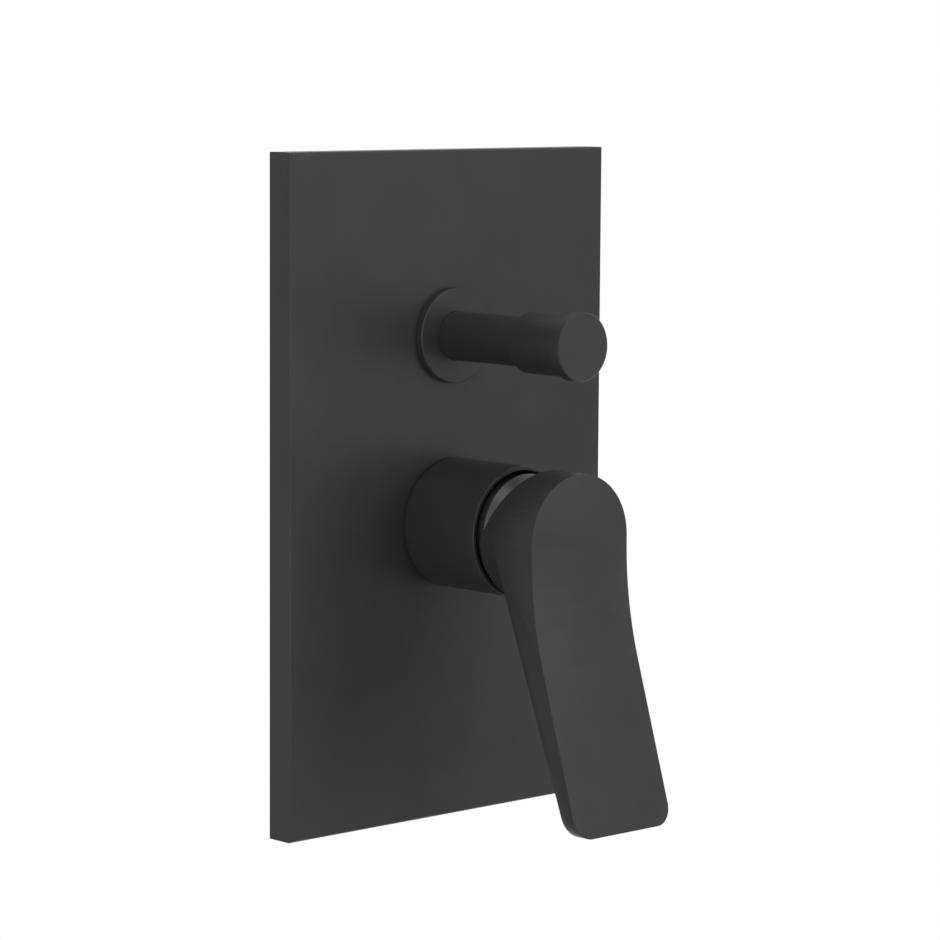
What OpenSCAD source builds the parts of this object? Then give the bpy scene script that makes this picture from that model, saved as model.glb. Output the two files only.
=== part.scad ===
// Concealed shower mixer with a pull diverter above the lever.
// Millimetres. Z is up, the finished wall is the plane y = 0 and the mixer's axis is x = z = 0.
// Each piece is drawn as seen from the front (x right, y up, z the reach towards the user)
// and is turned upright at the end. A negative reach lies inside the wall.

/* [Cover plate] */
// Width of the plate
plate_w = 150; // [124:1:200]
// Height of the plate
plate_h = 240; // [200:1:300]
// Depth of the plate's pan
plate_t = 11; // [9:0.5:12]
// Sheet thickness of the pan
plate_wall = 2.5; // [1.5:0.25:3]
// Bevel along the plate's front edges
plate_bevel = 0.6; // [0.2:0.1:1.5]
// Height of the mixer's axis above the plate's lower edge
mixer_up = 107; // [100:1:125]
// Distance from the mixer's axis up to the diverter's axis
axis_gap = 67; // [60:1:85]

/* [Mixer sleeve] */
// Outer radius of the sleeve
sleeve_r = 23.2; // [23:0.1:28]
// Wall of the sleeve at its mouth
sleeve_wall = 1.5; // [1:0.1:1.8]
// Reach of the sleeve's front rim
sleeve_front = 48; // [46:0.5:49]
// Dark reveal between the plate and the sleeve
reveal = 1.5; // [1:0.1:2.5]

/* [Lever] */
// Half width of the lever, and radius of its hub
lever_r = 23; // [22.6:0.1:27.6]
// Length of the lever from its axis down to its end
lever_len = 99; // [75:1:125]
// Reach of the lever's upright front face
lever_front = 77.3; // [76:0.1:84]
// Lean of the lever's front face, degrees
front_lean = 17.4; // [14:0.1:20]
// Lean of the lever's back face, degrees
back_lean = 21.4; // [18:0.1:23]
// Corner radius at the lever's end
lever_corner = 7; // [2:0.5:12]
// Lift of the lever from closed to fully open, degrees
lift_angle = 22; // [16:1:24]

/* [Diverter knob] */
// Radius of the rosette
rosette_r = 17; // [15:0.5:24]
// Thickness of the rosette
rosette_t = 3; // [2:0.5:5]
// Outer radius of the neck
neck_r = 8.75; // [8.5:0.05:9.5]
// Reach of the grip's rear shoulder when pushed in
grip_back = 52; // [46:0.5:54]
// Radius of the grip
grip_r = 10.8; // [10.5:0.1:13]
// Reach of the grip's front end
grip_front = 73; // [72:0.5:80]
// Radius of the end cap
cap_r = 12; // [11:0.1:15]
// Thickness of the end cap
cap_t = 5; // [3:0.5:8]
// Pull of the knob
travel = 9.8; // [7:0.1:10]

/* [Valve body] */
// Depth of the valve body behind the wall's face
body_depth = 46; // [46:1:56]
// Radius of the cartridge
cartridge_r = 17.4; // [17.2:0.1:17.8]
// Reach of each water inlet to the side
inlet_reach = 38; // [36:1:50]
// Wall radius of the half inch pipe threads
thread_r = 9.9; // [9.5:0.1:10.2]
// Length of the pipe threads
thread_len = 14; // [10:1:16]
// Radius of the four fixing holes
lug_hole_r = 2.75; // [2:0.25:3.5]

/* [Clearances] */
// Radial gap of fixed fits and threads
fit_gap = 0.1; // [0.05:0.01:0.12]
// Radial gap of running fits
run_gap = 0.06; // [0.02:0.01:0.08]
// Gap between pieces that slide over each other at a distance
free_gap = 0.3; // [0.2:0.05:0.4]

/* [Hidden] */
$fn = 96;
// Overshoot of cutting shapes
over = 1;

coat = [0.17, 0.17, 0.18];
brass = [0.78, 0.62, 0.32];
steel = [0.7, 0.71, 0.73];
rubber = [0.06, 0.06, 0.06];
nylon = [0.86, 0.87, 0.84];
ceramic = [0.95, 0.95, 0.92];
foam = [0.25, 0.25, 0.26];

// Fine bevels on turned edges
edge = 0.35;
rim_edge = 0.25;

// Valve barrel that carries the cartridge
bore_r = cartridge_r + 2 * fit_gap;
barrel_r = bore_r + 1.9;
barrel_front = 26;
barrel_wide_r = barrel_r + 2.5;
wide_front = -12;
seat = 10;

// Sleeve and its spigot through the plate
spigot_in = barrel_r + fit_gap;
spigot_out = spigot_in + 1.6;
spigot_back = 3;
sleeve_back = plate_t + reveal;
sleeve_in = sleeve_r - sleeve_wall;
sleeve_step = 19.5;
plate_hole_r = spigot_out + free_gap;
grommet_r = sleeve_r - 0.8;
ring_reach = 7;
ring_section = 0.58;

// Cartridge, from its seat towards the user
base_back = seat + free_gap;
disc_back = 15;
disc_face = 18.8;
carrier_back = 22.4;
carrier_front = 27.2;
flange_back = carrier_front + free_gap;
flange_front = flange_back + 2.1;
housing_lip = flange_front + fit_gap;
housing_front = housing_lip + 2.1;
housing_in = cartridge_r - 1.6;
flange_r = cartridge_r + 1.6;
top_r = cartridge_r - 0.4;
rotor_r = 12.3;
rotor_front = 45.5;
fixed_disc_r = housing_in - free_gap;
moving_disc_r = 12;
carrier_r = moving_disc_r + 0.8;
carrier_lap = 2.2;

// Water ports through seals, base and discs
inlet_port = [5.8, -3.4];
inlet_port_r = 3;
outlet_port = [0, 6.2];
outlet_port_r = 3;
seal_w = 1.4;
seal_t = 1.1;
mix_side = [4.6, 0.9];
mix_side_r = 3.3;
mix_top = [0, 3.5];
mix_top_r = 5;
mix_depth = 2;

// Nut that clamps the cartridge, and the collar that carries the dome
nut_r = sleeve_in - 0.5;
nut_back = 20;
nut_seat = 28;
nut_front = 33;
collar_front = 37;
collar_in = top_r + 2 * fit_gap;
collar_r = collar_in + 1.2;
notch_w = 5;
notch_depth = 3;

// Tilting stem
pivot = 40;
stem_lean = lift_angle / 2;
stem_r = 4;
stem_front = 32.5;
stem_back = 9;
ball_at = 14;
ball_r = 2.9;
ball_neck_r = 2.2;
rest_shift = ball_at * sin(stem_lean);
slot_up = 6.4;
pin_r = 1.5;
pin_half = 11.5;

// Hub, its ball-shaped hollow and the dome inside it
hub_back = 51.2;
hub_wall = 2;
dome_gap = 0.5;
hollow_r = sqrt(pow(lever_r - hub_wall, 2) + pow(hub_back - pivot, 2));
dome_r = hollow_r - dome_gap;
dome_t = 1.2;
dome_rim_r = lever_r - 2.25;
dome_rim_back = 50.2;
dome_open_r = 10.5;
skirt_in = collar_r + fit_gap;
skirt_r = skirt_in + 0.8;
skirt_back = nut_front + 0.2;
skirt_front = 52.3;

// Sides of the lever
strip_back = 56.9;
bend_up = -23.2;
bend_r = 135;
bend_half = bend_r * tan(front_lean / 2);
tip_front = lever_front + (lever_len + bend_up) * tan(front_lean);
tip_back = strip_back + lever_len * tan(back_lean);
cut_up = -0.65;
cut_slope = 0.46;

// Screw that holds the lever on its stem
grub_reach = 68.5;
grub_r = 2;
grub_len = 8;
grub_top = -(grub_reach - pivot) * tan(stem_lean) - stem_r / cos(stem_lean) - 0.5;
grub_key = 2.3;
plug_len = 2;
plug_drop = 2.2;

// Plate pan
pocket_floor = plate_t - plate_wall;
boss_wall = 2.5;
boss_back = 3;
rib_w = 2;
rib_back = 5;
rib_x = plate_w * 0.3;
gasket_w = 4;
gasket_back = 0.3;
gasket_front = 3.5;
gasket_gap = 0.05;

// Diverter, from the back of its chamber towards the user
chamber_r = 10;
chamber_step = -36;
chamber_end = -44;
chamber_rear_r = 8.5;
diverter_barrel_r = chamber_r + 4.5;
mouth = 6;
washer_t = 1;
bonnet_back = -6;
hex_back = mouth + washer_t;
hex_front = hex_back + 3;
hex_r = 12.2;
bonnet_hole_r = hex_r + free_gap;
neck_in = neck_r - 1.55;
bonnet_nose_r = neck_in - fit_gap;
bonnet_nose = 24;
gland_back = 14;
gland_r = 5.2;
rod_r = 3;
rod_end_r = 2;
rod_ring = 1.05;
rod_ring_gap = 0.02;
bush_back = 18.5;
neck_front = grip_back + travel + 4.2;
guide_front = neck_front - 0.5;
guide_back = guide_front - 7.5;
seal_groove = 0.8;

// Cage, seats and piston of the diverter
cage_r = chamber_r - fit_gap;
cage_front_in = 7.5;
lip_front = -15;
lip_t = 2;
lip_r = 5;
cage_in = 7.8;
seat_gap = 0.1;
seat_in = 7;
piston_t = 3.9;
cage_back = lip_front - lip_t - piston_t - travel - 2 * seat_gap;
piston_r = 6.6;
piston_face = 1.2;
piston_face_r = 6.4;
piston_front = cage_back + seat_gap + piston_t;
cage_slot_w = 8;
front_slot = [-8, -14];
mid_slot = [-20, -28];
cage_ring = 0.62;
cage_ring_gap = 0.02;
groove_half = 0.75;
front_groove = lip_front - lip_t;
rear_groove = chamber_step + 2.4;

// Knob
grip_wall_back = grip_front - 4;
grip_wall_front = grip_front - 2;
grip_bore_r = neck_r + fit_gap;
cap_seat_r = 9.4;
cap_ring_r = cap_seat_r - fit_gap;
cap_hollow_r = 7;
cap_hollow = 1.8;
nut_hex_r = 3.6;
nut_t = 2.5;

// Water ways and bosses of the valve body
body_back = -body_depth;
boss_r = thread_r + 3.6;
inlet_level = -28;
inlet_way_r = 5;
inlet_way_end = 6;
rear_way = -40;
way_r = 3.8;
cross_r = 3.6;
way_shell_r = 6;
side_way_x = 14;
cross_up = 44;
riser_reach = -24;
riser_r = 3.5;
web_half = 7.5;
web_foot = 15;
web_front = -17;
top_reach = -20;
top_way_reach = -11.5;
top_way_r = 3.5;
top_end = axis_gap + 36;
bottom_end = -42;
bottom_way_up = -26;
bottom_well_r = 7;
bottom_well_up = -22;
lug_x = 29;
lug_up = 34;
lug_r = 7;
lug_t = 4;

// Turns a piece from the front view into the part's own frame
module upright() {
    rotate([90, 0, 0])
        children();
}

// Moves a piece of the front view from the mixer's axis to the diverter's
module at_diverter() {
    translate([0, axis_gap, 0])
        children();
}

// Round bar on the axis between two reaches
module bar(r, from, to) {
    translate([0, 0, from])
        cylinder(h = to - from, r = r);
}

// Tube on the axis between two reaches
module tube(r_out, r_in, from, to) {
    difference() {
        bar(r_out, from, to);
        bar(r_in, from - over, to + over);
    }
}

// Round ring of round section on the axis
module round_ring(ring_r, section_r, reach) {
    translate([0, 0, reach])
        rotate_extrude()
            translate([ring_r, 0])
                circle(r = section_r, $fn = 48);
}

// Round bar from left to right
module across(r, x_from, x_to, up, reach) {
    translate([x_from, up, reach])
        rotate([0, 90, 0])
            cylinder(h = x_to - x_from, r = r);
}

// Round bar from below to above
module rise(r, up_from, up_to, x, reach) {
    translate([x, up_from, reach])
        rotate([-90, 0, 0])
            cylinder(h = up_to - up_from, r = r);
}

// Block given by its ranges in x, up and reach
module block(x, up, reach) {
    translate([x[0], up[0], reach[0]])
        cube([x[1] - x[0], up[1] - up[0], reach[1] - reach[0]]);
}

// Places a shape on both inlet ports
module at_inlets() {
    for (side = [-1, 1])
        translate([side * inlet_port.x, inlet_port.y, 0])
            children();
}

// Places a shape on the outlet port
module at_outlet() {
    translate([outlet_port.x, outlet_port.y, 0])
        children();
}

// The three ports as cutting bars
module port_bars(from, to) {
    at_inlets()
        bar(inlet_port_r, from, to);
    at_outlet()
        bar(outlet_port_r, from, to);
}

// A square-section seal round each of the three ports
module port_rings(grow, from, to) {
    at_inlets()
        tube(inlet_port_r + seal_w + grow, inlet_port_r, from, to);
    at_outlet()
        tube(outlet_port_r + seal_w + grow, outlet_port_r, from, to);
}

// Pan outline with bevelled front edges
module pan_solid() {
    intersection() {
        translate([0, plate_h - mixer_up, 0])
            rotate([90, 0, 0])
                linear_extrude(height = plate_h)
                    pan_section(plate_w / 2, -plate_w / 2);
        translate([plate_w / 2, 0, 0])
            rotate([0, -90, 0])
                linear_extrude(height = plate_w)
                    mirror([1, -1])
                        pan_section(plate_h - mixer_up, -mixer_up);
    }
}

// Section of the pan between two edges, with its front corners bevelled
module pan_section(high, low) {
    polygon([[low, 0], [high, 0], [high, plate_t - plate_bevel], [high - plate_bevel, plate_t],
        [low + plate_bevel, plate_t], [low, plate_t - plate_bevel]]);
}

// Pressed cover plate with its pocket, two holes, a boss and stiffening ribs
module cover_plate() {
    color(coat)
        upright()
            difference() {
                union() {
                    difference() {
                        pan_solid();
                        block([-plate_w / 2 + plate_wall, plate_w / 2 - plate_wall],
                            [-mixer_up + plate_wall, plate_h - mixer_up - plate_wall],
                            [-over, pocket_floor]);
                    }
                    bar(plate_hole_r + boss_wall, boss_back, plate_t - plate_bevel);
                    for (side = [-1, 1])
                        block([side * rib_x - rib_w / 2, side * rib_x + rib_w / 2],
                            [-mixer_up + over, plate_h - mixer_up - over],
                            [rib_back, plate_t - plate_bevel]);
                }
                bar(plate_hole_r, -over, plate_t + over);
                at_diverter()
                    bar(bonnet_hole_r, -over, plate_t + over);
            }
}

// Soft strip inside the plate's rim
module plate_gasket() {
    in = plate_wall + gasket_gap;
    deep = in + gasket_w;
    color(foam)
        upright()
            difference() {
                block([-plate_w / 2 + in, plate_w / 2 - in],
                    [-mixer_up + in, plate_h - mixer_up - in],
                    [gasket_back, gasket_front]);
                block([-plate_w / 2 + deep, plate_w / 2 - deep],
                    [-mixer_up + deep, plate_h - mixer_up - deep],
                    [gasket_back - over, gasket_front + over]);
            }
}

// Plain sleeve whose spigot passes through the plate on to the barrel
module mixer_sleeve() {
    color(coat)
        upright()
            rotate_extrude()
                polygon([[spigot_in, spigot_back], [spigot_out, spigot_back],
                    [spigot_out, sleeve_back], [sleeve_r - rim_edge, sleeve_back],
                    [sleeve_r, sleeve_back + rim_edge], [sleeve_r, sleeve_front - rim_edge],
                    [sleeve_r - rim_edge, sleeve_front], [sleeve_in + rim_edge, sleeve_front],
                    [sleeve_in, sleeve_front - rim_edge], [sleeve_in, sleeve_step],
                    [spigot_in, sleeve_step]]);
}

// Dark seal in the reveal between the plate and the sleeve
module mixer_grommet() {
    color(rubber)
        upright()
            tube(grommet_r, spigot_out + run_gap, plate_t, sleeve_back);
}

// Ring in the barrel's groove that holds the sleeve
module barrel_ring() {
    color(rubber)
        upright()
            round_ring((barrel_r - 1 + spigot_in) / 2, ring_section - run_gap / 2, ring_reach);
}

// Ball-shaped dome round the stem, with a skirt on the nut's collar
module dome_cap() {
    color(coat)
        upright()
            union() {
                difference() {
                    intersection() {
                        translate([0, 0, pivot])
                            sphere(r = dome_r);
                        bar(dome_rim_r, dome_rim_back, pivot + dome_r + over);
                    }
                    translate([0, 0, pivot])
                        sphere(r = dome_r - dome_t);
                    bar(dome_open_r, pivot, pivot + dome_r + over);
                }
                tube(skirt_r, skirt_in, skirt_back, skirt_front);
            }
}

// Front view of the lever
module lever_outline() {
    circle(r = lever_r);
    translate([-lever_r, -lever_len + lever_corner])
        square([2 * lever_r, lever_len - lever_corner]);
    translate([-lever_r + lever_corner, -lever_len])
        square([2 * (lever_r - lever_corner), lever_len]);
    for (side = [-1, 1])
        translate([side * (lever_r - lever_corner), -lever_len + lever_corner])
            circle(r = lever_corner);
}

// Side view of the lever's strip below its axis, reach to the right and up upwards
module strip_side() {
    polygon([[strip_back, 0], [tip_back, -lever_len], [tip_front, -lever_len],
        [lever_front, bend_up], [lever_front, 0]]);
    difference() {
        polygon([[lever_front - over, bend_up + bend_half], [lever_front, bend_up + bend_half],
            [lever_front + bend_half * sin(front_lean), bend_up - bend_half * cos(front_lean)],
            [lever_front - over, bend_up]]);
        translate([lever_front + bend_r, bend_up + bend_half])
            circle(r = bend_r, $fn = 720);
    }
}

// Side view of the wedge that is cut from the hub's upper rear
module hub_wedge() {
    far = lever_r + over;
    polygon([[hub_back - over, cut_up - over], [hub_back, cut_up],
        [hub_back + (far - cut_up) * cut_slope, far], [hub_back - over, far]]);
}

// Turns a side view into a slab as wide as the lever
module from_side() {
    translate([lever_r + over, 0, 0])
        rotate([0, -90, 0])
            linear_extrude(height = 2 * (lever_r + over))
                children();
}

// One-piece lever: hub, leaning strip, hollow for the dome, stem socket and screw hole
module lever_handle() {
    color(coat)
        upright()
            difference() {
                union() {
                    intersection() {
                        linear_extrude(height = tip_front + over)
                            lever_outline();
                        from_side()
                            strip_side();
                    }
                    bar(lever_r, hub_back, lever_front);
                }
                from_side()
                    hub_wedge();
                translate([0, 0, pivot])
                    sphere(r = hollow_r);
                translate([0, 0, pivot])
                    rotate([stem_lean, 0, 0])
                        bar(stem_r + fit_gap / 2, 0, stem_front + fit_gap);
                rise(grub_r + fit_gap / 2, -lever_len, grub_top + grub_r, 0, grub_reach);
            }
}

// Grub screw with a hexagon socket, set against the stem from below
module grub_screw() {
    color(steel)
        upright()
            difference() {
                rise(grub_r, grub_top - grub_len, grub_top, 0, grub_reach);
                translate([0, grub_top - grub_len - over, grub_reach])
                    rotate([-90, 0, 0])
                        cylinder(h = over + grub_key, r = grub_r * 0.58, $fn = 6);
            }
}

// Small plug that hides the screw
module screw_plug() {
    top = grub_top - grub_len - plug_drop;
    color(rubber)
        upright()
            rise(grub_r, top - plug_len, top, 0, grub_reach);
}

// Steel stem with a ball at its inner end and a cross hole for the pin
module lever_stem() {
    color(steel)
        upright()
            translate([0, 0, pivot])
                rotate([stem_lean, 0, 0])
                    difference() {
                        union() {
                            bar(stem_r, -stem_back, stem_front);
                            bar(ball_neck_r, -ball_at, 0);
                            translate([0, 0, -ball_at])
                                sphere(r = ball_r);
                        }
                        across(pin_r + run_gap, -stem_r - over, stem_r + over, 0, 0);
                    }
}

// Brass nut over the barrel, with four spanner notches and the dome's collar
module cartridge_nut() {
    color(brass)
        upright()
            difference() {
                rotate_extrude()
                    polygon([[spigot_in, nut_back], [nut_r, nut_back], [nut_r, nut_front - edge],
                        [nut_r - edge, nut_front], [collar_r, nut_front], [collar_r, collar_front],
                        [collar_in, collar_front], [collar_in, nut_seat], [spigot_in, nut_seat]]);
                for (turn = [45:90:315])
                    rotate([0, 0, turn])
                        block([collar_r + 0.8, nut_r + over], [-notch_w / 2, notch_w / 2],
                            [nut_front - notch_depth, nut_front + over]);
            }
}

// Cartridge housing with the flange that the nut clamps
module cartridge_housing() {
    color(nylon)
        upright()
            rotate_extrude()
                polygon([[housing_in, disc_back], [cartridge_r, disc_back],
                    [cartridge_r, barrel_front], [flange_r, barrel_front],
                    [flange_r, nut_seat], [top_r, nut_seat], [top_r, housing_front],
                    [rotor_r + run_gap, housing_front], [rotor_r + run_gap, housing_lip],
                    [housing_in, housing_lip]]);
}

// Cartridge base with three ports and seal grooves on both faces
module cartridge_base() {
    color(nylon)
        upright()
            difference() {
                bar(cartridge_r - fit_gap, base_back, disc_back);
                port_bars(base_back - over, disc_back + over);
                port_rings(fit_gap, base_back - over, seat + seal_t);
                port_rings(fit_gap, disc_back - seal_t, disc_back + over);
            }
}

// Seals between the cartridge base and the body's seat
module base_seals() {
    color(rubber)
        upright()
            port_rings(0, seat, seat + seal_t);
}

// Seals between the cartridge base and the fixed disc
module disc_seals() {
    color(rubber)
        upright()
            port_rings(0, disc_back - seal_t, disc_back);
}

// Fixed ceramic disc with the three ports
module fixed_disc() {
    color(ceramic)
        upright()
            difference() {
                bar(fixed_disc_r, disc_back, disc_face);
                port_bars(disc_back - over, disc_face + over);
            }
}

// Moving ceramic disc with the mixing hollow in its sliding face
module moving_disc() {
    color(ceramic)
        upright()
            translate([0, rest_shift, 0])
                difference() {
                    bar(moving_disc_r, disc_face, carrier_back);
                    for (side = [-1, 1])
                        translate([side * mix_side.x, mix_side.y, 0])
                            bar(mix_side_r, disc_face - over, disc_face + mix_depth);
                    translate([mix_top.x, mix_top.y, 0])
                        bar(mix_top_r, disc_face - over, disc_face + mix_depth);
                }
}

// Carrier that laps the moving disc and takes the stem's ball
module disc_carrier() {
    color(nylon)
        upright()
            translate([0, rest_shift, 0])
                difference() {
                    bar(carrier_r, carrier_back - carrier_lap, carrier_front);
                    bar(moving_disc_r + run_gap, carrier_back - carrier_lap - over, carrier_back);
                    bar(ball_r + fit_gap, carrier_back - over, carrier_front + over);
                }
}

// Rotor with the slot for the tilting stem and the cross hole for its pin
module cartridge_rotor() {
    color(nylon)
        upright()
            difference() {
                union() {
                    bar(housing_in - free_gap, flange_back, flange_front);
                    bar(rotor_r, flange_back, rotor_front);
                }
                block([-stem_r - fit_gap, stem_r + fit_gap], [-slot_up, slot_up],
                    [flange_back - over, rotor_front + over]);
                across(pin_r + run_gap / 2, -pin_half, pin_half, 0, pivot);
                across(pin_r + run_gap / 2, 0, rotor_r + over, 0, pivot);
            }
}

// Steel pin on which the stem tilts
module pivot_pin() {
    color(steel)
        upright()
            across(pin_r, -pin_half, pin_half, 0, pivot);
}

// Flat mounting flange with round corners behind the valve body
module lug_flange() {
    translate([0, 0, body_back])
        linear_extrude(height = lug_t) {
            square([2 * (lug_x + lug_r), 2 * lug_up], center = true);
            square([2 * lug_x, 2 * (lug_up + lug_r)], center = true);
            for (side = [-1, 1], end = [-1, 1])
                translate([side * lug_x, end * lug_up])
                    circle(r = lug_r);
        }
}

// Bar from the side way to the lower outlet's axis
module foot_way(r) {
    dx = side_way_x;
    dz = inlet_level - rear_way;
    translate([side_way_x, bottom_way_up, rear_way])
        rotate([0, -atan2(dx, dz), 0])
            cylinder(h = sqrt(dx * dx + dz * dz), r = r);
}

// Outer shape of the brass casting
module body_solid() {
    bar(barrel_wide_r, body_back, wide_front);
    bar(barrel_r, body_back, barrel_front);
    across(boss_r, -inlet_reach, inlet_reach, 0, inlet_level);
    rise(boss_r, bottom_end, 0, 0, inlet_level);
    rise(boss_r, axis_gap, top_end, 0, top_reach);
    rise(way_shell_r, bottom_way_up - way_shell_r, axis_gap + way_r, side_way_x, rear_way + 0.5);
    foot_way(way_shell_r - 0.5);
    block([-web_half, web_half], [web_foot, axis_gap], [body_back, web_front]);
    lug_flange();
    at_diverter()
        bar(diverter_barrel_r, body_back, mouth);
}

// Chambers, pipe threads and water ways inside the casting
module body_ways() {
    bar(bore_r, seat, barrel_front + over);
    at_inlets()
        bar(inlet_port_r, inlet_level, seat + over);
    at_outlet()
        bar(outlet_port_r, rear_way, seat + over);
    for (turn = [0, 180])
        rotate([0, 0, turn]) {
            across(thread_r, inlet_reach - thread_len, inlet_reach + over, 0, inlet_level);
            across(inlet_way_r, inlet_way_end, inlet_reach - thread_len + over, 0, inlet_level);
        }
    rise(way_r, outlet_port.y, cross_up, 0, rear_way);
    translate([0, cross_up, 0])
        bar(cross_r, rear_way, riser_reach);
    rise(riser_r, cross_up, axis_gap, 0, riser_reach);
    rise(thread_r, top_end - thread_len, top_end + over, 0, top_reach);
    rise(top_way_r, axis_gap, top_end - thread_len + over, 0, top_way_reach);
    across(cross_r, 0, side_way_x, axis_gap, rear_way);
    rise(way_r, bottom_way_up, axis_gap, side_way_x, rear_way);
    foot_way(cross_r);
    rise(bottom_well_r, bottom_end + thread_len - over, bottom_well_up, 0, inlet_level);
    rise(thread_r, bottom_end - over, bottom_end + thread_len, 0, inlet_level);
    at_diverter() {
        bar(chamber_r, chamber_step, mouth + over);
        bar(chamber_rear_r, chamber_end, chamber_step + over);
    }
    for (side = [-1, 1], end = [-1, 1])
        translate([side * lug_x, end * lug_up, 0])
            bar(lug_hole_r, body_back - over, body_back + lug_t + over);
}

// Groove of the ring that holds the sleeve
module barrel_groove() {
    tube(barrel_r + over, barrel_r - 1, ring_reach - 0.7, ring_reach + 0.7);
}

// Cast valve body with both chambers, four pipe threads and four fixing holes
module valve_body() {
    $fn = 64;
    color(brass)
        upright()
            difference() {
                body_solid();
                body_ways();
                barrel_groove();
            }
}

// Round rosette on the plate with a groove for its seal
module diverter_rosette() {
    front = plate_t + rosette_t;
    color(coat)
        upright()
            at_diverter()
                difference() {
                    rotate_extrude()
                        polygon([[neck_r + fit_gap, plate_t], [rosette_r - rim_edge, plate_t],
                            [rosette_r, plate_t + rim_edge], [rosette_r, front - edge],
                            [rosette_r - edge, front], [neck_r + fit_gap, front]]);
                    tube(rosette_r - 1, bonnet_hole_r + 0.6, plate_t - over, plate_t + seal_groove);
                }
}

// Flat seal in the rosette's groove
module rosette_seal() {
    color(rubber)
        upright()
            at_diverter()
                tube(rosette_r - 1 - fit_gap, bonnet_hole_r + 0.6 + fit_gap, plate_t,
                    plate_t + seal_groove);
}

// Neck that stands on the bonnet and carries the knob's grip
module neck_tube() {
    color(coat)
        upright()
            at_diverter()
                tube(neck_r, neck_in, hex_front, neck_front);
}

// Brass bonnet screwed into the diverter chamber
module diverter_bonnet() {
    color(brass)
        upright()
            at_diverter()
                difference() {
                    union() {
                        bar(cage_r, bonnet_back, hex_back);
                        translate([0, 0, hex_back])
                            cylinder(h = hex_front - hex_back, r = hex_r, $fn = 6);
                        bar(bonnet_nose_r, hex_front, bonnet_nose);
                    }
                    bar(rod_r + run_gap, bonnet_back - over, bonnet_nose + over);
                    bar(gland_r, gland_back, bonnet_nose + over);
                    bar(cage_front_in, bonnet_back - over, bonnet_back + 3);
                }
}

// Fibre washer under the bonnet's hexagon
module bonnet_seal() {
    color(rubber)
        upright()
            at_diverter()
                tube(diverter_barrel_r - 1.5, chamber_r, mouth, hex_back);
}

// Two rings round the rod in the bonnet's gland
module rod_seals() {
    ring_r = (rod_r + gland_r) / 2;
    color(rubber)
        upright()
            at_diverter()
                for (step = [1, 3.1])
                    round_ring(ring_r, rod_ring - rod_ring_gap, gland_back + step * rod_ring);
}

// Bush that closes the gland
module gland_bush() {
    color(nylon)
        upright()
            at_diverter()
                tube(gland_r - fit_gap / 2, rod_r + run_gap, bush_back, bonnet_nose);
}

// Guide of the rod at the neck's front end
module rod_guide() {
    color(nylon)
        upright()
            at_diverter()
                tube(neck_in - fit_gap / 2, rod_r + run_gap, guide_back, guide_front);
}

// Four side windows through a round wall between two reaches
module windows(span) {
    for (turn = [0, 90])
        rotate([0, 0, turn])
            block([-chamber_r - over, chamber_r + over], [-cage_slot_w / 2, cage_slot_w / 2],
                [span[1], span[0]]);
}

// Cage with the front seat, and windows to the inlet and the upper outlet
module diverter_cage() {
    color(nylon)
        upright()
            at_diverter()
                difference() {
                    bar(cage_r, cage_back, bonnet_back);
                    bar(cage_front_in, lip_front, bonnet_back + over);
                    bar(lip_r, cage_back - over, bonnet_back + over);
                    bar(cage_in, cage_back - over, lip_front - lip_t);
                    windows(front_slot);
                    windows(mid_slot);
                    tube(chamber_r + over, chamber_r - 2 * cage_ring - cage_ring_gap,
                        front_groove - groove_half, front_groove + groove_half);
                }
}

// Rear seat of the diverter, clamped against the chamber's step
module rear_seat() {
    color(nylon)
        upright()
            at_diverter()
                difference() {
                    bar(cage_r, chamber_step, cage_back);
                    bar(lip_r, chamber_step - over, cage_back + over);
                    bar(seat_in, chamber_step - over, cage_back - lip_t);
                    tube(chamber_r + over, chamber_r - 2 * cage_ring - cage_ring_gap,
                        rear_groove - groove_half, rear_groove + groove_half);
                }
}

// Rings that seal the cage and the rear seat in the chamber
module cage_seals() {
    color(rubber)
        upright()
            at_diverter()
                for (reach = [front_groove, rear_groove])
                    round_ring(chamber_r - cage_ring, cage_ring - cage_ring_gap, reach);
}

// Rod from the piston to the knob, with a thinner threaded end at each side
module diverter_rod() {
    color(steel)
        upright()
            at_diverter()
                union() {
                    bar(rod_r, piston_front, grip_wall_back);
                    bar(rod_end_r, piston_front - piston_t - nut_t - 0.8,
                        grip_wall_front + nut_t + 0.7);
                }
}

// Brass disc of the piston
module piston_disc() {
    color(brass)
        upright()
            at_diverter()
                tube(piston_r, rod_end_r + run_gap / 2, piston_front - piston_t + piston_face,
                    piston_front - piston_face);
}

// Rubber faces on both sides of the piston disc
module piston_faces() {
    color(rubber)
        upright()
            at_diverter()
                for (back = [piston_front - piston_t, piston_front - piston_face])
                    tube(piston_face_r, rod_end_r + run_gap / 2, back, back + piston_face);
}

// Two equal nuts on the rod's ends
module rod_nuts() {
    color(steel)
        upright()
            at_diverter()
                for (back = [piston_front - piston_t - nut_t, grip_wall_front])
                    difference() {
                        translate([0, 0, back])
                            cylinder(h = nut_t, r = nut_hex_r, $fn = 6);
                        bar(rod_end_r + run_gap / 2, back - over, back + nut_t + over);
                    }
}

// Hollow grip that slides over the neck
module knob_grip() {
    color(coat)
        upright()
            at_diverter()
                rotate_extrude()
                    polygon([[grip_bore_r, grip_back], [grip_r - rim_edge, grip_back],
                        [grip_r, grip_back + rim_edge], [grip_r, grip_front],
                        [cap_seat_r, grip_front], [cap_seat_r, grip_wall_front],
                        [rod_end_r + run_gap / 2, grip_wall_front],
                        [rod_end_r + run_gap / 2, grip_wall_back], [grip_bore_r, grip_wall_back]]);
}

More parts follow.
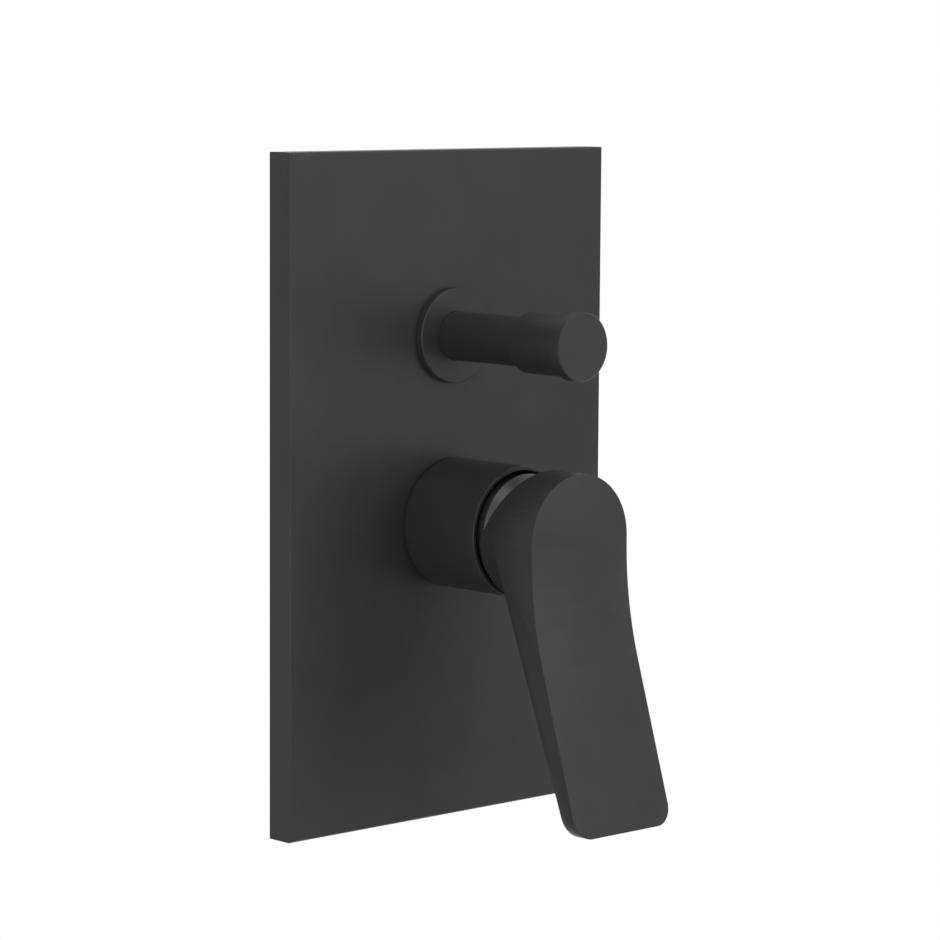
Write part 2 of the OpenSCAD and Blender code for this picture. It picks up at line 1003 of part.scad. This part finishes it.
// End cap pressed into the grip, hollow over the nut
module knob_cap() {
    front = grip_front + cap_t;
    color(coat)
        upright()
            at_diverter()
                rotate_extrude()
                    polygon([[0, grip_front + cap_hollow], [cap_hollow_r, grip_front + cap_hollow],
                        [cap_hollow_r, grip_wall_front], [cap_ring_r, grip_wall_front],
                        [cap_ring_r, grip_front], [cap_r - edge, grip_front],
                        [cap_r, grip_front + edge], [cap_r, front - edge], [cap_r - edge, front],
                        [0, front]]);
}

cover_plate();
plate_gasket();
mixer_sleeve();
mixer_grommet();
barrel_ring();
dome_cap();
lever_handle();
grub_screw();
screw_plug();
lever_stem();
cartridge_nut();
cartridge_housing();
cartridge_base();
base_seals();
disc_seals();
fixed_disc();
moving_disc();
disc_carrier();
cartridge_rotor();
pivot_pin();
valve_body();
diverter_rosette();
rosette_seal();
neck_tube();
diverter_bonnet();
bonnet_seal();
rod_seals();
gland_bush();
rod_guide();
diverter_cage();
rear_seat();
cage_seals();
diverter_rod();
piston_disc();
piston_faces();
rod_nuts();
knob_grip();
knob_cap();
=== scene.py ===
# %% [markdown]
# # A matt black shower mixer, dressed for its portrait
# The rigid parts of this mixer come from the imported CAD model. They have their true sizes already, so this lesson
# adds what makes them look real: a camera that stands where the photographer stood, a bright studio, fine bevels
# that catch the light, and a finish for every surface. We work in metres. X runs along the cover plate, Y goes
# into the wall and Z is up. The mixer's axis meets the wall at the origin.

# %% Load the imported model
import bpy
import bmesh
import math
from mathutils import Matrix, Vector


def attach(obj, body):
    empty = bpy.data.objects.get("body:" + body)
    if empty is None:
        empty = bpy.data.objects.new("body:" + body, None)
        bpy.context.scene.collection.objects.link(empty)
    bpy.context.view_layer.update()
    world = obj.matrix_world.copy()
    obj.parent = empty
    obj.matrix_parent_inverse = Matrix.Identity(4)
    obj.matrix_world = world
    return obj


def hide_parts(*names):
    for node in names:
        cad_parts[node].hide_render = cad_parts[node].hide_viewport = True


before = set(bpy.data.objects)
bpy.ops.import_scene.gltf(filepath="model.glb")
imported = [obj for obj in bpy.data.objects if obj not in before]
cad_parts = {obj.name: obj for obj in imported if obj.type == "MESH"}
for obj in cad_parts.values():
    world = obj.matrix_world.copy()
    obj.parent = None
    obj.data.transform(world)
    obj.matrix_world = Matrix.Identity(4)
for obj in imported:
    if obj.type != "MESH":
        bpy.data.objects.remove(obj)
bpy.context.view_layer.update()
scene = bpy.context.scene
scene.view_settings.view_transform = "Standard"
MM = 0.001

# %% [markdown]
# ## The camera
# The plate's edges and the round outlines of the sleeve, rosette and knob in the photograph fix the camera.
# It stands left of the mixer and a little above it, looks slightly down, and has a long lens, so the plate's
# edges stay nearly parallel. We build its turn from three angles instead of tracking a target, because a
# tracking constraint can't hold the small roll.

# %% Place the camera
CAMERA_PLACE = Vector((-0.8601, -0.9507, 0.1669))
CAMERA_YAW = math.radians(42.777)
CAMERA_PITCH = math.radians(6.641)
CAMERA_ROLL = math.radians(0.374)
LENS_MM = 136.99

forward = Vector((math.sin(CAMERA_YAW) * math.cos(CAMERA_PITCH),
                  math.cos(CAMERA_YAW) * math.cos(CAMERA_PITCH), -math.sin(CAMERA_PITCH)))
level_right = Vector((math.cos(CAMERA_YAW), -math.sin(CAMERA_YAW), 0))
level_up = level_right.cross(forward)
right = math.cos(CAMERA_ROLL) * level_right + math.sin(CAMERA_ROLL) * level_up
up = -math.sin(CAMERA_ROLL) * level_right + math.cos(CAMERA_ROLL) * level_up

camera_data = bpy.data.cameras.new("portrait_camera")
camera_data.lens = LENS_MM
camera_data.sensor_width = 36
camera = bpy.data.objects.new("portrait_camera", camera_data)
turn = Matrix((right, up, -forward)).transposed()
camera.matrix_world = Matrix.Translation(CAMERA_PLACE) @ turn.to_4x4()
scene.collection.objects.link(camera)
scene.camera = camera
print("camera at", [round(c, 4) for c in CAMERA_PLACE], "lens", LENS_MM)

# %% [markdown]
# ## The studio
# The object was photographed against pure white. A floor far below the mixer and the world share one pale
# colour, and the camera and shiny surfaces see them as white. The light on the mixer itself stays at a plain
# level: a broad, soft front light makes the faces turned to us the lightest, a top light draws the bright line
# along the plate's upper edge, and the left side gets only the even light of the room.

# %% Light the world
WHITE = (1, 1, 1, 1)


def backdrop_switch(nodes, links):
    """Returns a socket that is 1 for rays from the camera, mirrors and clear surfaces, and 0 for plain light."""
    path = nodes.new("ShaderNodeLightPath")
    mirrored = nodes.new("ShaderNodeMath")
    mirrored.operation = "MAXIMUM"
    links.new(path.outputs["Is Glossy Ray"], mirrored.inputs[0])
    links.new(path.outputs["Is Transmission Ray"], mirrored.inputs[1])
    seen = nodes.new("ShaderNodeMath")
    seen.operation = "MAXIMUM"
    links.new(path.outputs["Is Camera Ray"], seen.inputs[0])
    links.new(mirrored.outputs[0], seen.inputs[1])
    return seen.outputs[0]


WORLD_LEVEL = 0.2
world = bpy.data.worlds.new("bright_room")
world.use_nodes = True
scene.world = world
nodes, links = world.node_tree.nodes, world.node_tree.links
nodes.clear()
room = nodes.new("ShaderNodeBackground")
room.inputs["Color"].default_value = WHITE
room.inputs["Strength"].default_value = WORLD_LEVEL
backdrop = nodes.new("ShaderNodeBackground")
backdrop.inputs["Color"].default_value = WHITE
backdrop.inputs["Strength"].default_value = 1
mix = nodes.new("ShaderNodeMixShader")
out = nodes.new("ShaderNodeOutputWorld")
links.new(backdrop_switch(nodes, links), mix.inputs["Fac"])
links.new(room.outputs[0], mix.inputs[1])
links.new(backdrop.outputs[0], mix.inputs[2])
links.new(mix.outputs[0], out.inputs["Surface"])
print("world level", WORLD_LEVEL)

# %% Lay the floor
FLOOR_DROP = 0.45
FLOOR_HALF = 6.0

floor_mesh = bpy.data.meshes.new("studio_floor")
shape = bmesh.new()
bmesh.ops.create_grid(shape, x_segments=1, y_segments=1, size=FLOOR_HALF,
                      matrix=Matrix.Translation((0, 0, -FLOOR_DROP)))
shape.to_mesh(floor_mesh)
shape.free()
floor = bpy.data.objects.new("studio_floor", floor_mesh)
scene.collection.objects.link(floor)

pale = bpy.data.materials.new("pale_floor")
pale.use_nodes = True
nodes, links = pale.node_tree.nodes, pale.node_tree.links
nodes.clear()
matt = nodes.new("ShaderNodeBsdfDiffuse")
matt.inputs["Color"].default_value = (0.8, 0.8, 0.8, 1)
glow = nodes.new("ShaderNodeEmission")
glow.inputs["Color"].default_value = WHITE
glow.inputs["Strength"].default_value = 1
mix = nodes.new("ShaderNodeMixShader")
out = nodes.new("ShaderNodeOutputMaterial")
links.new(backdrop_switch(nodes, links), mix.inputs["Fac"])
links.new(matt.outputs[0], mix.inputs[1])
links.new(glow.outputs[0], mix.inputs[2])
links.new(mix.outputs[0], out.inputs["Surface"])
floor.data.materials.append(pale)
print("floor", FLOOR_DROP, "m below the mixer's axis")

# %% Hang the softboxes


def softbox(name, place, target, width, height, power):
    """A rectangular area light at a place, aimed at a target, both in metres."""
    light = bpy.data.lights.new(name, "AREA")
    light.shape = "RECTANGLE"
    light.size, light.size_y = width, height
    light.energy = power
    lamp = bpy.data.objects.new(name, light)
    lamp.location = place
    lamp.rotation_mode = "QUATERNION"
    lamp.rotation_quaternion = (Vector(target) - Vector(place)).to_track_quat("-Z", "Y")
    scene.collection.objects.link(lamp)
    return lamp


softbox("front_softbox", (0.5, -1.9, 0.3), (0, 0, 0), 1.6, 1.4, 13)
softbox("left_softbox", (-2.0, -1.0, 0.2), (0, 0, 0), 1.4, 1.4, 13)
softbox("top_softbox", (-0.1, -0.5, 1.5), (0, 0, 0), 1.6, 1.2, 8)

# %% [markdown]
# ## Tools for finishes
# Every finish here is a Principled shader with a little variation painted by noise in Object coordinates, so
# the pattern sits still on the piece. Three helpers keep the material cells short: one starts a material, one
# mixes two near colours with noise, and one turns noise into a fine bump.

# %% Write the material helpers


def start_finish(name, roughness, metallic=0.0):
    """Makes a material with a Principled shader and Object coordinates, and returns its tools in one bundle."""
    material = bpy.data.materials.new(name)
    material.use_nodes = True
    tree = material.node_tree
    shader = tree.nodes["Principled BSDF"]
    shader.inputs["Roughness"].default_value = roughness
    shader.inputs["Metallic"].default_value = metallic
    where = tree.nodes.new("ShaderNodeTexCoord").outputs["Object"]
    return material, tree, shader, where


def noise(tree, where, scale, detail=3.0, roughness=0.5):
    """Noise at a number of cells per metre."""
    node = tree.nodes.new("ShaderNodeTexNoise")
    node.inputs["Scale"].default_value = scale
    node.inputs["Detail"].default_value = detail
    node.inputs["Roughness"].default_value = roughness
    tree.links.new(where, node.inputs["Vector"])
    return node.outputs["Fac"]


def two_tones(tree, amount, dark, light, low=0.35, high=0.65):
    """A colour between two tones, led by an amount from 0 to 1."""
    ramp = tree.nodes.new("ShaderNodeValToRGB")
    ramp.color_ramp.elements[0].position = low
    ramp.color_ramp.elements[0].color = (*dark, 1)
    ramp.color_ramp.elements[1].position = high
    ramp.color_ramp.elements[1].color = (*light, 1)
    tree.links.new(amount, ramp.inputs["Fac"])
    return ramp.outputs["Color"]


def between(tree, amount, low, high):
    """A number between low and high, led by an amount from 0 to 1."""
    node = tree.nodes.new("ShaderNodeMapRange")
    node.inputs["To Min"].default_value = low
    node.inputs["To Max"].default_value = high
    tree.links.new(amount, node.inputs["Value"])
    return node.outputs["Result"]


def add_bump(tree, shader, height, depth_mm, strength=1.0, under=None):
    """Presses a height pattern into the surface, to a depth in millimetres."""
    bump = tree.nodes.new("ShaderNodeBump")
    bump.inputs["Strength"].default_value = strength
    bump.inputs["Distance"].default_value = depth_mm * MM
    tree.links.new(height, bump.inputs["Height"])
    if under is not None:
        tree.links.new(under, bump.inputs["Normal"])
    tree.links.new(bump.outputs["Normal"], shader.inputs["Normal"])
    return bump.outputs["Normal"]


print("helpers ready")

# %% [markdown]
# ## The matt black coat
# All visible metal wears one electrostatic coat: nearly black, dry to the touch, with a grain so fine that it
# only softens reflections. Two scales of noise give it life. A slow one shifts the tone a little, and a fast
# one roughens the surface by a few hundredths of a millimetre.

# %% Mix the matt coat
COAT_DARK = (0.034, 0.034, 0.035)
COAT_LIGHT = (0.039, 0.039, 0.040)

matt_coat, tree, shader, where = start_finish("matt_coat", 0.5)
cloud = noise(tree, where, 45, 3)
grain = noise(tree, where, 5200, 2, 0.6)
tree.links.new(two_tones(tree, cloud, COAT_DARK, COAT_LIGHT), shader.inputs["Base Color"])
tree.links.new(between(tree, grain, 0.34, 0.42), shader.inputs["Roughness"])
shader.inputs["Specular IOR Level"].default_value = 0.2
add_bump(tree, shader, grain, 0.012, 0.5)
print(matt_coat.name, "tones", COAT_DARK, COAT_LIGHT)

# %% Mix the smoother coat of the dome
satin_coat, tree, shader, where = start_finish("satin_coat", 0.38)
cloud = noise(tree, where, 60, 3)
grain = noise(tree, where, 6000, 2, 0.6)
tree.links.new(two_tones(tree, cloud, COAT_DARK, COAT_LIGHT), shader.inputs["Base Color"])
tree.links.new(between(tree, grain, 0.34, 0.42), shader.inputs["Roughness"])
add_bump(tree, shader, grain, 0.008, 0.4)
print(satin_coat.name)

# %% [markdown]
# ## Brass, steel, plastic, ceramic and rubber
# The hidden half of the mixer is bare material. The cast body keeps the sandy skin of its mould, and only the
# seats and threads are machined. Turned parts carry rings round their axis, drawn steel has fine streaks
# along it, and the cartridge is moulded plastic with glass-smooth ceramic discs.

# %% Cast the brass body's skin
cast_brass, tree, shader, where = start_finish("cast_brass", 0.5, 1.0)
sand = noise(tree, where, 1500, 4, 0.7)
cloud = noise(tree, where, 70, 4, 0.6)
tree.links.new(two_tones(tree, cloud, (0.42, 0.27, 0.10), (0.60, 0.42, 0.18), 0.3, 0.75), shader.inputs["Base Color"])
tree.links.new(between(tree, sand, 0.36, 0.62), shader.inputs["Roughness"])
add_bump(tree, shader, sand, 0.09, 0.7)
print(cast_brass.name)

# %% Turn the brass rings
turned_brass, tree, shader, where = start_finish("turned_brass", 0.3, 1.0)
wave = tree.nodes.new("ShaderNodeTexWave")
wave.wave_type = "RINGS"
wave.rings_direction = "Y"
wave.inputs["Scale"].default_value = 900
wave.inputs["Distortion"].default_value = 1.5
wave.inputs["Detail"].default_value = 2
tree.links.new(where, wave.inputs["Vector"])
cloud = noise(tree, where, 90, 3)
tree.links.new(two_tones(tree, cloud, (0.52, 0.35, 0.14), (0.66, 0.47, 0.21)), shader.inputs["Base Color"])
tree.links.new(between(tree, wave.outputs["Fac"], 0.22, 0.36), shader.inputs["Roughness"])
add_bump(tree, shader, wave.outputs["Fac"], 0.01, 0.4)
print(turned_brass.name)

# %% Draw the steel
drawn_steel, tree, shader, where = start_finish("drawn_steel", 0.28, 1.0)
stretch = tree.nodes.new("ShaderNodeMapping")
stretch.inputs["Scale"].default_value = (1, 0.05, 1)
tree.links.new(where, stretch.inputs["Vector"])
streaks = noise(tree, stretch.outputs["Vector"], 4000, 3, 0.6)
tree.links.new(two_tones(tree, streaks, (0.42, 0.43, 0.45), (0.60, 0.61, 0.63)), shader.inputs["Base Color"])
tree.links.new(between(tree, streaks, 0.2, 0.36), shader.inputs["Roughness"])
add_bump(tree, shader, streaks, 0.006, 0.4)
print(drawn_steel.name)

# %% Mould the plastic, fire the ceramic, cure the rubber, foam the gasket
moulded_nylon, tree, shader, where = start_finish("moulded_nylon", 0.45)
cloud = noise(tree, where, 120, 3)
grain = noise(tree, where, 2600, 2)
tree.links.new(two_tones(tree, cloud, (0.66, 0.67, 0.63), (0.74, 0.75, 0.71)), shader.inputs["Base Color"])
tree.links.new(between(tree, grain, 0.38, 0.5), shader.inputs["Roughness"])
add_bump(tree, shader, grain, 0.02, 0.4)

fired_ceramic, tree, shader, where = start_finish("fired_ceramic", 0.12)
speck = noise(tree, where, 900, 4, 0.7)
tree.links.new(two_tones(tree, speck, (0.80, 0.79, 0.74), (0.87, 0.86, 0.82)), shader.inputs["Base Color"])
tree.links.new(between(tree, speck, 0.08, 0.18), shader.inputs["Roughness"])
shader.inputs["Coat Weight"].default_value = 0.3

seal_rubber, tree, shader, where = start_finish("seal_rubber", 0.6)
grain = noise(tree, where, 3000, 3)
tree.links.new(two_tones(tree, grain, (0.009, 0.009, 0.009), (0.016, 0.016, 0.016)), shader.inputs["Base Color"])
tree.links.new(between(tree, grain, 0.5, 0.7), shader.inputs["Roughness"])
add_bump(tree, shader, grain, 0.02, 0.5)

cell_foam, tree, shader, where = start_finish("cell_foam", 0.9)
cells = tree.nodes.new("ShaderNodeTexVoronoi")
cells.inputs["Scale"].default_value = 1600
tree.links.new(where, cells.inputs["Vector"])
tree.links.new(two_tones(tree, cells.outputs["Distance"], (0.03, 0.03, 0.032), (0.075, 0.075, 0.08), 0.1, 0.7),
               shader.inputs["Base Color"])
tree.links.new(between(tree, cells.outputs["Distance"], 0.8, 0.95), shader.inputs["Roughness"])
add_bump(tree, shader, cells.outputs["Distance"], 0.3, 0.7)
print("finishes:", sorted(m.name for m in bpy.data.materials if not m.name.startswith("Material")))

# %% [markdown]
# ## Dress the CAD pieces
# Each carried-over piece gets the finish of its real counterpart. The table is read from left to right:
# a finish, then the pieces that wear it.

# %% Assign the finishes
WARDROBE = {
    matt_coat: ["cover_plate", "mixer_sleeve", "lever_handle", "diverter_rosette", "neck_tube", "knob_grip",
                "knob_cap"],
    satin_coat: ["dome_cap"],
    cast_brass: ["valve_body"],
    turned_brass: ["cartridge_nut", "diverter_bonnet", "piston_disc"],
    drawn_steel: ["grub_screw", "lever_stem", "pivot_pin", "diverter_rod", "rod_nuts"],
    moulded_nylon: ["cartridge_housing", "cartridge_base", "cartridge_rotor", "disc_carrier", "gland_bush",
                    "rod_guide", "diverter_cage", "rear_seat"],
    fired_ceramic: ["fixed_disc", "moving_disc"],
    seal_rubber: ["mixer_grommet", "barrel_ring", "base_seals", "disc_seals", "rosette_seal", "bonnet_seal",
                  "rod_seals", "cage_seals", "piston_faces", "screw_plug"],
    cell_foam: ["plate_gasket"],
}


def dress(piece, finish):
    """Gives a piece one finish, in place of what it wore."""
    piece.data.materials.clear()
    piece.data.materials.append(finish)


for finish, names in WARDROBE.items():
    for name in names:
        dress(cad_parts[name], finish)
undressed = set(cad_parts) - {n for names in WARDROBE.values() for n in names}
print("undressed pieces:", sorted(undressed))

# %% [markdown]
# ## The lever with its softened edge
# On the real lever the front face meets its sides in a bevel of a few tenths of a millimetre. It is too small
# to see as a shape, but it shows as a thin bright line. The CAD lever has the right faces and sharp edges, so
# we copy it, merge its loose triangles, clean them into large faces and let a Bevel modifier round every
# sharp edge. Modelling the lever anew would risk its shape for nothing.

# %% Bevel a copy of the lever
LEVER_EDGE = 0.35 * MM


def merged_copy(node, name):
    """A new mesh object with a CAD node's shape, its loose triangles merged and flat areas made one face."""
    mesh = bpy.data.meshes.new(name)
    shape = bmesh.new()
    shape.from_mesh(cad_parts[node].data)
    bmesh.ops.remove_doubles(shape, verts=shape.verts, dist=1e-6)
    bmesh.ops.dissolve_limit(shape, angle_limit=math.radians(0.2), verts=shape.verts, edges=shape.edges)
    shape.to_mesh(mesh)
    shape.free()
    piece = bpy.data.objects.new(name, mesh)
    scene.collection.objects.link(piece)
    return piece


def soften(piece, width, angle_deg=25, segments=3):
    """Rounds every edge that is sharper than an angle, and shades the piece smooth between its flat faces."""
    for face in piece.data.polygons:
        face.use_smooth = True
    bevel = piece.modifiers.new("fine_edge", "BEVEL")
    bevel.width = width
    bevel.segments = segments
    bevel.limit_method = "ANGLE"
    bevel.angle_limit = math.radians(angle_deg)
    bevel.harden_normals = True
    bevel.use_clamp_overlap = True
    return bevel


lever = merged_copy("lever_handle", "lever_softened")
soften(lever, LEVER_EDGE)
dress(lever, matt_coat)
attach(lever, "lever")
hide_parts("lever_handle")
print("lever faces", len(lever.data.polygons))
